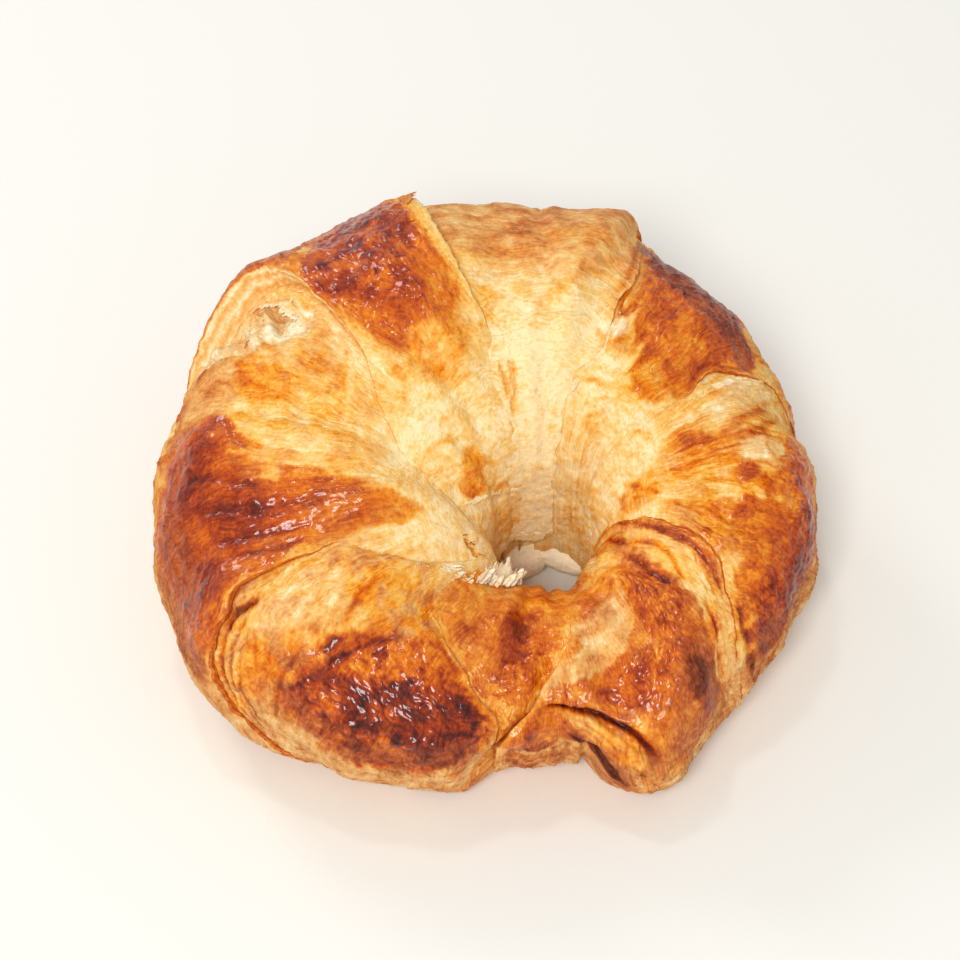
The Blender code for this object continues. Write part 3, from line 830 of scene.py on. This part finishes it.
rightTipWrap = {
    "name": "rightTipWrap", "start": "rightThree", "end": "tips", "endLap": 360, "swell": 1.6,
    "columns": 165, "base": 0.48, "blisters": 0.9, "blisterMm": 2.3,
    "crease": 0.8, "layers": {"rightThree": 2}, "inner": 0.40, "upright": 1.0, "drawn": 0.4, "floury": 0.5,
    "tones": ((330, 60, 20, 16, 0, 0.55), (334, 98, 9, 15, -0.4, 0.33, 0.3),
              (341, 77, 6, 28, -0.75, 0.35, 0.4),
              (340, 122, 12, 18, 0, 0.50), (294, 100, 5.5, 38, -0.27, 0.20),
              (312, 90, 9, 21, -0.1, 0.72, 0.9),
              (318, 40, 8, 28, 0.1, 0.66, 0.6), (319, 45, 4, 11, 0, 0.82, 0.35), (328, 64, 8, 8, 0, 0.64),
              (338, 52, 8, 7, 0, 0.62), (303, 46, 4, 14, -0.35, 0.24, 0.6), (308, 26, 3.5, 14, 0, 0.34, 0.4),
              (305, 142, 12, 12, 0, 0.26), (4, 24, 9, 15, 0, 0.54, 0.9), (3, 10, 6, 5, 0, 0.66, 0.5),
              (5, -8, 12, 10, 0, 0.52, 0.3), (11, 8, 2.5, 14, 0, 0.28, 0.5),
              (346, 24, 5, 18, 0.42, 0.37, 0.9),
              (347, 5, 2.4, 19, 0.36, 0.72, 0.2), (343, -12, 7, 7, 0.3, 0.50, 0.3),
              (335, 4, 4, 10, 0, 0.52, 0.4),
              (327, 20, 5, 18, 0, 0.56, 0.5)),
    "dents": ((345.5, 25, 4.0, 17, 0.42, 1.4, 0.0), (343, -8, 6, 9, 0.3, 1.2, 0.1),
              (336, 2, 3, 9, 0, 0.2, 0.6),
              (3, 20, 7, 12, 0, 0.8, 0.0)),
    "lines": (
        # beside the lip of the wrap above: darker crust, darkened further as painted shade next to the lip
        (((276.5, 147), (280.5, 132), (283.5, 119), (286, 105), (288, 94), (289.8, 84), (292, 74), (295, 65),
          (298, 58)), 0.7, 0.32, -0.4),
        (((281, 152), (286, 142), (289, 134), (290.6, 120), (292.4, 105), (295, 96), (299, 88), (302, 80)),
         0.5, 0.30, -0.35),
        (((298, 130), (301.5, 113), (304, 98), (305, 85)), 0.7, 0.20, -0.4),
        (((302, 70), (306, 52), (309, 36), (310, 14)), 0.6, 0.25, -0.5),
        # the groove under the ear's lip: its darker underside, darkened further as painted shadow
        (((361, 38), (356, 40), (350, 40.5), (345.3, 39.3), (341.9, 35.5), (339.4, 32), (337.6, 27.6),
          (336.1, 19),
          (335.3, 8)), 1.0, 0.45, -1.4),
        (((353.5, 24), (350, 15), (346.5, 6), (343.6, -3), (340.6, -12)), 1.5, 0.20, -0.5),
        (((355, 27), (352, 20), (349, 12), (346, 4), (343, -4)), 0.35, -0.14, 0.25),
        (((352.6, 20), (349.2, 11), (346.2, 3), (343, -5)), 0.3, 0.12, -0.2),
        (((352.5, 36), (348, 31), (344.6, 24), (341.6, 14)), 0.4, 0.12, -0.3),
        (((351, 31), (347.4, 25), (344.4, 16), (342.4, 8)), 0.4, 0.10, -0.25),
    ),
    # the ear's lip as a step, with painted shade at its foot
    "ledges": (
        (((335, 5), (335.6, 19), (337.2, 28.5), (339, 33), (341.6, 37), (345.2, 41), (350, 42.3),
          (356, 41.5),
          (361, 40)), 1.1, 2.5, 0.1),
    ),
}
wraps = (leftTipWrap, leftTwoWrap, leftOneWrap, leftZeroWrap, centreWrap, rightOneWrap, rightTwoWrap,
         rightTipWrap)


def buildWraps(material):
    grids = [wrapGrid(wrap) for wrap in wraps]
    # the bare form fills the CAD box, which gives the size of a mm and the place of the hole
    forms = np.concatenate([placeOn(g["turn"], g["way"], g["rise"], g["free"]).reshape(-1,
                                                                                       3) for g in grids])
    low, high = (np.array(corner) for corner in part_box("croissant"))
    unit = (high[0] - low[0]) / (forms[:, 0].max() - forms[:, 0].min())
    middle = (forms.min(0) + forms.max(0)) / 2
    shift = np.array([(low[0] + high[0]) / 2 - middle[0] * unit, (low[1] + high[1]) / 2 - middle[1] * unit,
                      low[2]])
    print("one mm is", unit, "and the hole is at", shift)
    rows = len(rowWays)
    spots = {"turn": [], "way": [], "points": [], "bake": [], "mm": []}
    for wrap, grid in zip(wraps, grids):
        dress = dressWrap(wrap, grid)
        rings = ringPoints(grid, dress["relief"])
        faces = gridFaces(len(rings), rows).tolist()
        last = (len(rings) - 1) * rows
        count = len(rings) * rows
        points = np.concatenate([rings.reshape(-1, 3), rings[0].mean(0)[None], rings[-1].mean(0)[None]])
        faces += [[count, (row + 1) % rows, row] for row in range(rows)]
        faces += [[count + 1, last + row, last + (row + 1) % rows] for row in range(rows)]
        capped = len(endPulls)

        def whole(values):
            rowsOf = np.concatenate([values[:1]] * capped + [values] + [values[-1:]] * capped)
            return np.concatenate([rowsOf.ravel(), [0.3, 0.3]])

        lay = np.stack([whole(dress["u"]), whole(dress["v"]), 0 * whole(dress["u"])], -1)
        makePiece(wrap["name"], points * unit + shift, faces, material,
                  {"bake": whole(dress["bake"]), "wash": whole(dress["wash"]),
                   "glaze": whole(dress["glaze"]),
                   "flatGrain": whole(dress["flat"]), "lay": lay})
        print("wrap", wrap["name"], "faces", len(faces))
        bare = (grid["wall"] == 0) & (grid["hidden"] == 0)
        spots["turn"].append(grid["turn"][bare])
        spots["way"].append(grid["way"][bare])
        spots["bake"].append(dress["bake"][bare])
        spots["mm"].append(perDegree(grid["turn"][bare], grid["way"][bare]))
        spots["points"].append(rings[capped:-capped][bare])
    return unit, shift, {key: np.concatenate(value) for key, value in spots.items()}


# Torn shreds, lifted flakes and crumbs, each a thin closed blade.  The path is (turn, way); the heading is
# in degrees from along turn (0) to along way (90), the lift in degrees off the crust, sizes in mm.
bladeGroups = {
    "crumbTuft": (
        {"path": ((41, 124), (37, 127), (33, 131), (28, 136), (24, 140)), "count": 44, "spread": (1.0, 1.8),
         "heading": (20, 120), "lift": (44, 84), "curl": (-20, 14), "length": (1.6, 4.8),
         "width": (0.7, 2.2), "thick": 0.10, "tone": (0.0, 0.03), "wash": 0.2},
        {"path": ((50, 115), (46, 119), (42, 123)), "count": 40, "spread": (1.6, 3.0), "heading": (60, 220),
         "lift": (5, 45), "curl": (-14, 14), "length": (0.8, 2.2), "width": (0.3, 0.9), "thick": 0.10,
         "tone": (0.0, 0.04), "wash": 0.3},
        {"path": ((56, 108), (52, 112)), "count": 30, "spread": (2, 3), "heading": (200, 340),
         "lift": (30, 90),
         "curl": (-20, 30), "length": (0.7, 1.6), "width": (0.2, 0.5), "thick": 0.10, "tone": (0.05, 0.2),
         "wash": 0.5},
    ),
    "tornFlakes": (
        {"path": ((125, 34), (128, 46), (128.5, 58), (126, 68)), "count": 60, "spread": (3, 6),
         "heading": (120, 240),
         "lift": (0, 25), "curl": (-20, 20), "length": (0.8, 2.4), "width": (0.3, 0.9), "thick": 0.08,
         "tone": (0.0, 0.14), "wash": 0.3},
        {"path": ((214, 116), (222, 108), (230, 102)), "count": 46, "spread": (6, 10), "heading": (40, 140),
         "lift": (2, 18), "curl": (-12, 6), "length": (0.6, 1.6), "width": (0.3, 0.8), "thick": 0.08,
         "tone": None, "wash": 0.9},
        {"path": ((63, 135), (56, 138), (51, 137)), "count": 26, "spread": (1.5, 2), "heading": (60, 120),
         "lift": (0, 20), "curl": (-20, 10), "length": (0.8, 2.0), "width": (0.2, 0.5), "thick": 0.10,
         "tone": (0.3, 0.6), "wash": 0.4},
        {"path": ((333, -10), (336, -2), (339, 4)), "count": 24, "spread": (3.5, 9), "heading": (0, 360),
         "lift": (0, 30), "curl": (-20, 20), "length": (0.5, 1.5), "width": (0.3, 1.0), "thick": 0.2,
         "tone": (0.25, 0.6), "wash": 0.5},
    ),
    "looseFlakes": (
        {"path": ((15, 60), (60, 70), (110, 75), (150, 80), (200, 85), (245, 80), (290, 70), (350, 70)),
         "count": 150, "spread": (12, 48), "heading": (60, 120), "lift": (0, 7), "curl": (-10, 8),
         "length": (0.6, 2.0), "width": (0.3, 1.2), "thick": 0.05, "tone": None, "wash": 0.9},
    ),
}

# Torn sheets of dough that stand free along a line of places: width in mm at even steps along it, which
# side it hangs to (1 is to the left of the line's run seen from outside), lift and curl in degrees, how
# torn its rim is, and its browning at the root and at the rim.
tornSheets = {
    "rimFlap": {"path": ((156.2, 46), (156.0, 54), (155.6, 64), (155.4, 76), (155.8, 86), (156.8, 96),
                         (158.4, 106)),
                "width": (2.0, 3.0, 3.4, 3.0, 2.6, 1.8, 0.6), "side": 1, "lift": 12, "curl": -12,
                "torn": 0.2,
                "thick": 0.4, "tone": (0.30, 0.12), "wash": 0.9},
    "rimTip": {"path": ((156.4, 47), (156.0, 51), (155.8, 55), (155.8, 59)), "width": (0.8, 3.0, 3.4, 0.8),
               "side": 1,
               "lift": 20, "curl": -4, "torn": 0.75, "thick": 0.3, "tone": (0.50, 0.42), "wash": 0.6},
    "hollowFringe": {"path": ((128, 34), (130, 44), (130.5, 54), (129, 64), (126, 72)),
                     "width": (1.2, 2.6, 3.4, 2.8, 1.0), "side": -1, "lift": 8, "curl": -8, "torn": 0.75,
                     "thick": 0.15, "tone": (0.24, 0.0), "wash": 0.4},
    "hollowSheet": {"path": ((119.5, 34), (120.5, 40), (121.5, 48), (122, 57)),
                    "width": (0.5, 2.2, 2.4, 0.8), "side": -1,
                    "lift": 12, "curl": 10, "torn": 0.7, "thick": 0.15, "tone": (0.10, 0.02), "wash": 0.3},
    "slopeSheet": {"path": ((90, 141), (97, 148), (110, 156), (122, 162), (136, 168), (150, 172),
                            (166, 174)),
                   "width": (0.5, 1.6, 1.3, 1.8, 1.4, 1.7, 0.5), "side": -1, "lift": 5, "curl": -4,
                   "torn": 0.6,
                   "thick": 0.2, "tone": (0.08, 0.05), "wash": 0.6},
    "footSheet": {"path": ((66, 186), (86, 193), (108, 197), (130, 199), (152, 200), (176, 200), (198, 199)),
                  "width": (0.8, 3.0, 2.4, 3.4, 2.6, 3.0, 0.8), "side": -1, "lift": 1, "curl": -6,
                  "torn": 0.6,
                  "thick": 0.35, "tone": (0.08, 0.14), "wash": 0.5},
    "backSheet": {"path": ((203.8, 84), (203.4, 94), (203.2, 104), (202.6, 113), (199.4, 121), (196, 128),
                           (193.6, 136)),
                  "width": (0.6, 1.6, 1.3, 2.2, 1.5, 1.8, 0.5), "side": 1, "lift": 5, "curl": -8,
                  "torn": 0.8,
                  "thick": 0.2, "tone": (0.16, 0.08), "wash": 0.3},
    "backShred": {"path": ((161, 123), (161.6, 130), (161, 138)), "width": (0.6, 1.8, 0.6), "side": 1,
                  "lift": 6,
                  "curl": 0, "torn": 0.5, "thick": 0.2, "tone": (0.28, 0.2), "wash": 0.3},
    "tuftSheet": {"path": ((41, 124), (37, 127), (33, 131), (28, 136), (24, 140)),
                  "width": (1.2, 4.4, 5.0, 4.2, 1.2),
                  "side": 1, "lift": 58, "curl": -6, "torn": 0.6, "thick": 0.2, "tone": (0.05, 0.0),
                  "wash": 0.3},
    "earFlake": {"path": ((357.6, 8), (356.6, 12.5), (356.8, 18)), "width": (0.8, 2.2, 0.8), "side": 1,
                 "lift": 8,
                 "curl": 0, "torn": 0.5, "thick": 0.3, "tone": (0.22, 0.16), "wash": 0.9},
}


def crustFrame(turn, way):  # directions along turn, along way and out of the crust
    here = placeOn(np.array([turn, turn + 1.0, turn]), np.array([way, way, way + 1.0]), 0.0, 1.0)
    alongTurn = (here[1] - here[0]) / np.linalg.norm(here[1] - here[0])
    alongWay = (here[2] - here[0]) / np.linalg.norm(here[2] - here[0])
    normal = np.cross(alongWay, alongTurn)
    return alongTurn, alongWay, normal / np.linalg.norm(normal)


def nearestSpot(crustSpots, turn, way):
    off = (np.mod(crustSpots["turn"] - turn + 180, 360) - 180) * crustSpots["mm"]
    return np.argmin(off**2 + ((crustSpots["way"] - way) * roll["mmPerWay"]) ** 2)


def buildSheet(name, sheet, crustSpots, material, unit, shift):
    path = np.array(sheet["path"], float)
    places = np.arange(len(path))
    steps = np.linspace(0, len(path) - 1, 22 * (len(path) - 1))
    turn = smoothCurve(places, path[:, 0], steps)
    way = smoothCurve(places, path[:, 1], steps)
    roots = np.array([crustSpots["points"][nearestSpot(crustSpots, *place)] for place in zip(turn, way)])
    for axis in range(3):
        roots[:, axis] = np.convolve(np.pad(roots[:, axis], 6, "edge"), np.ones(13) / 13, "valid")
    normal = np.array([crustFrame(*place)[2] for place in zip(turn, way)])
    tangent = np.gradient(roots, axis=0)
    across = np.cross(normal, tangent) * sheet["side"]
    across = across / np.linalg.norm(across, axis=1)[:, None]
    run = np.concatenate([[0], np.cumsum(np.linalg.norm(np.diff(roots, axis=0), axis=1))])
    seed = 500 + len(name) + int(path[0, 0])
    rag = 0.5 * noise(run / 2.4, 0.5, 0.5, seed) + 0.7 * noise(run / 0.9, 0.5, 0.5, seed + 1)
    rag = rag + 0.5 * noise(run / 0.4, 0.5, 0.5, seed + 2)
    even = np.linspace(0, len(path) - 1, len(sheet["width"]))
    width = smoothCurve(even, sheet["width"], steps) * np.maximum(1 + sheet["torn"] * rag, 0.08)
    share = np.linspace(0, 1, 8)
    bend = sheet["lift"] + 14 * noise(run / 3.0, 0.5, 0.5, seed + 3)[:, None] + sheet["curl"] * share
    bend = np.radians(bend)[..., None]
    forward = np.cos(bend) * across[:, None] + np.sin(bend) * normal[:, None]
    face = np.cos(bend) * normal[:, None] - np.sin(bend) * across[:, None]
    ahead = np.cumsum(forward, 1) * (width / len(share))[:, None, None]
    middle = roots[:, None] + ahead - 0.25 * normal[:, None] * (1 - share[:, None])
    half = sheet["thick"] * (0.5 - 0.35 * share)[:, None]
    rings = np.concatenate([middle + half * face, (middle - half * face)[:, ::-1]], 1)
    count = rings.shape[1]
    faces = gridFaces(len(rings), count).tolist()
    faces += [list(range(count - 1, -1, -1)), list(range((len(rings) - 1) * count, len(rings) * count))]
    points = rings.reshape(-1, 3)
    points[:, 2] = np.maximum(points[:, 2], 0.1)
    tone = sheet["tone"][0] + (sheet["tone"][1] - sheet["tone"][0]) * share
    tone = tone + 0.07 * noise((run / 0.7)[:, None], share * 2.0, 0.5, seed + 4)
    bake = np.clip(np.concatenate([tone, tone[:, ::-1] + 0.04], 1), 0, 1).ravel()
    lay = np.stack([(ahead**2).sum(-1) ** 0.5, np.repeat(run[:, None], len(share), 1), 0 * ahead[..., 0]],
                   -1)
    lay = np.concatenate([lay, lay[:, ::-1]], 1).reshape(-1, 3)
    flat = np.zeros(len(points))
    makePiece(name, points * unit + shift, faces, material,
              {"bake": bake, "wash": flat + sheet["wash"], "glaze": flat + 0.25 * sheet["wash"],
               "flatGrain": flat, "lay": lay})
    print("sheet", name, len(faces))


def bladePoints(root, forward, normal, blade):
    across = np.cross(forward, normal)
    steps = np.linspace(0, 1, 7)
    bend = np.radians(blade["lift"] + blade["curl"] * steps)
    run = np.cos(bend)[:, None] * forward + np.sin(bend)[:, None] * normal
    face = -np.sin(bend)[:, None] * forward + np.cos(bend)[:, None] * normal
    middle = root + np.cumsum(run, 0) * blade["length"] / len(steps)
    width = blade["width"] * (1 - 0.3 * steps) * np.sqrt(1.02 - steps**3) * blade["rag"]
    ring = ((0.5, 0.0), (0.25, 0.5), (-0.25, 0.5), (-0.5, 0.0), (-0.25, -0.5), (0.25, -0.5))
    rings = [middle + width[:, None] * side * across + blade["thick"] * rise * face for side, rise in ring]
    return np.stack(rings, 1), steps


def buildBlades(name, groups, crustSpots, material, unit, shift):
    source = np.random.default_rng(sum(map(ord, name)))
    allPoints = []
    allFaces = []
    values = {"bake": [], "wash": [], "glaze": [], "flatGrain": [], "lay": []}
    for group in groups:
        path = np.array(group["path"], float)
        for index in range(group["count"]):
            place = source.uniform(0, len(path) - 1)
            turn, way = (smoothCurve(np.arange(len(path)), path[:, axis], place)
                         + source.normal() * group["spread"][axis] / 2 for axis in (0, 1))
            nearest = nearestSpot(crustSpots, turn, way)
            root = crustSpots["points"][nearest]
            alongTurn, alongWay, normal = crustFrame(turn, way)
            heading = np.radians(source.uniform(*group["heading"]))
            forward = np.cos(heading) * alongTurn + np.sin(heading) * alongWay
            forward = forward / np.linalg.norm(forward)
            blade = {key: source.uniform(*group[key]) for key in ("lift", "curl", "length", "width")}
            blade["thick"] = group["thick"]
            blade["rag"] = source.uniform(0.75, 1.25, 7)
            points, steps = bladePoints(root - 0.15 * normal - 0.5 * forward, forward, normal, blade)
            tone = (crustSpots["bake"][nearest] - 0.07 if group["tone"] is None
                    else source.uniform(*group["tone"]))
            count = points.shape[0] * 6
            start = sum(len(p) for p in allPoints)
            allPoints.append(points.reshape(-1, 3))
            allFaces += (gridFaces(points.shape[0], 6) + start).tolist()
            allFaces += [list(range(start + 5, start - 1, -1)),
                         list(range(start + count - 6, start + count))]
            shade = np.repeat(tone + 0.08 * source.normal(size=7), 6)
            values["bake"].append(np.clip(shade, 0, 1))
            values["wash"].append(np.full(count, group["wash"]))
            values["glaze"].append(np.full(count, 0.3 * group["wash"]))
            values["flatGrain"].append(np.zeros(count))
            lay = np.stack([np.tile(np.arange(6.0), 7) * 0.3 + index, np.repeat(steps * blade["length"], 6),
                            np.zeros(count)], -1)
            values["lay"].append(lay)
    points = np.concatenate(allPoints)
    points[:, 2] = np.maximum(points[:, 2], 0.1)
    makePiece(name, points * unit + shift, allFaces, material,
              {key: np.concatenate(value) for key, value in values.items()})
    print("blades", name, len(allFaces))


# Two soft lobes of pale dough swell out at the foot of the hole's back wall: centre and radii in mm
innerLobes = {
    # their tones below zero keep them near white: the dough's own cream, lightened further as painted light
    # in the shaded hole
    "innerLobeLeft": {"centre": (-4.0, 11.9, 3.6), "radii": (6.4, 3.9, 4.4), "turned": 24, "tone": -0.02,
                      "seed": 400},
    "innerLobeRight": {"centre": (6.0, 12.0, 5.0), "radii": (7.2, 3.5, 4.2), "turned": -24, "tone": -0.06,
                       "seed": 410},
}


def buildLobe(name, lobe, material, unit, shift):
    rings = 40
    rows = 56
    a = np.linspace(0.04, np.pi - 0.04, rings)[:, None]
    b = np.linspace(0, 2 * np.pi, rows, endpoint=False)[None, :]
    ball = np.stack([np.cos(a) + 0 * b, np.sin(a) * np.cos(b), np.sin(a) * np.sin(b)], -1)
    lump = cloudNoise(ball * 6, 4.0, 3, lobe["seed"])
    fibre = noise(ball[..., 1] * 9, ball[..., 2] * 9, ball[..., 0] * 1.5, lobe["seed"] + 5)
    form = ball * np.array(lobe["radii"]) * (1 + 0.07 * lump + 0.02 * fibre)[..., None]
    spin = np.radians(lobe["turned"])
    x = form[..., 0] * np.cos(spin) - form[..., 1] * np.sin(spin)
    y = form[..., 0] * np.sin(spin) + form[..., 1] * np.cos(spin)
    points = np.stack([x, y, form[..., 2]], -1) + np.array(lobe["centre"])
    points[..., 2] = np.maximum(points[..., 2], 0.1)
    faces = gridFaces(rings, rows).tolist()
    faces += [list(range(rows - 1, -1, -1)), list(range((rings - 1) * rows, rings * rows))]
    bake = np.clip(lobe["tone"] + 0.06 * lump + 0.05 * fibre, 0, 1).ravel()
    flat = np.zeros(rings * rows)
    lay = np.stack([form[..., 1], form[..., 0], form[..., 2]], -1).reshape(-1, 3)
    makePiece(name, points.reshape(-1, 3) * unit + shift, faces, material,
              {"bake": bake, "wash": flat + 0.2, "glaze": flat, "flatGrain": flat, "lay": lay})


# pale board seen close, matt and a little warm
stageLook = {"board": "#F3F1E8", "halfSize": 1.6, "sky": 0.57}
lamps = {
    "front": {"power": 13.2, "size": 0.45, "from": (-0.25, -0.95, 1.20), "colour": "#FFFFFF"},
    "overhead": {"power": 1.0, "size": 0.10, "from": (-0.18, 0.28, 1.08), "colour": "#FFFFFF"},
    "window": {"power": 1.8, "size": 0.24, "from": (-0.56, 0.60, 0.54), "colour": "#FAFAFF"},
}


def buildStage():
    half = stageLook["halfSize"]
    mesh = bpy.data.meshes.new("board")
    mesh.from_pydata([(-half, -half, 0), (half, -half, 0), (half, half, 0), (-half, half, 0)], [],
                     [(0, 1, 2, 3)])
    board = bpy.data.objects.new("board", mesh)
    bpy.context.scene.collection.objects.link(board)
    material = bpy.data.materials.new("paleBoard")
    material.use_nodes = True
    shader = material.node_tree.nodes["Principled BSDF"]
    shader.inputs["Base Color"].default_value = linear(stageLook["board"])
    shader.inputs["Roughness"].default_value = 0.6
    mesh.materials.append(material)


def addLight(name, lamp, target):
    data = bpy.data.lights.new(name, "AREA")
    data.energy = lamp["power"]
    data.size = lamp["size"]
    data.color = linear(lamp["colour"])[:3]
    light = bpy.data.objects.new(name, data)
    light.location = target + Vector(lamp["from"])
    light.rotation_euler = (-Vector(lamp["from"])).to_track_quat("-Z", "Y").to_euler()
    bpy.context.scene.collection.objects.link(light)


# where the camera looks, from where and how far, as shares of the croissant's width
viewFrom = {"aside": -0.008, "back": 0.045, "up": 0.145, "distance": 4.42, "elevation": 52, "lensMm": 108}


def buildView():
    low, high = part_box("croissant")
    width = high[0] - low[0]
    centre = [(low[i] + high[i]) / 2 for i in range(3)]
    target = Vector((centre[0] + viewFrom["aside"] * width, centre[1] + viewFrom["back"] * width,
                     low[2] + viewFrom["up"] * width))
    elevation = radians(viewFrom["elevation"])
    distance = viewFrom["distance"] * width
    data = bpy.data.cameras.new("view")
    data.lens = viewFrom["lensMm"]
    data.sensor_width = 36
    camera = bpy.data.objects.new("view", data)
    camera.location = target + distance * Vector((0, -cos(elevation), sin(elevation)))
    camera.rotation_euler = (target - camera.location).to_track_quat("-Z", "Y").to_euler()
    bpy.context.scene.collection.objects.link(camera)
    bpy.context.scene.camera = camera
    for name, lamp in lamps.items():
        addLight(name, lamp, target)
    world = bpy.data.worlds.new("studio")
    world.use_nodes = True
    world.node_tree.nodes["Background"].inputs["Color"].default_value = linear("#F4F5F8")
    world.node_tree.nodes["Background"].inputs["Strength"].default_value = stageLook["sky"]
    bpy.context.scene.world = world
    bpy.context.scene.view_settings.view_transform = "Standard"


print("croissant: wraps")
crustMaterial = bakedCrust()
mmUnit, holePlace, crustSpots = buildWraps(crustMaterial)
print("croissant: shreds, flakes and inner lobes")
for bladeName, bladeGroup in bladeGroups.items():
    buildBlades(bladeName, bladeGroup, crustSpots, crustMaterial, mmUnit, holePlace)
for sheetName, tornSheet in tornSheets.items():
    buildSheet(sheetName, tornSheet, crustSpots, crustMaterial, mmUnit, holePlace)
for lobeName, innerLobe in innerLobes.items():
    buildLobe(lobeName, innerLobe, crustMaterial, mmUnit, holePlace)
print("croissant: board, light and view")
buildStage()
buildView()
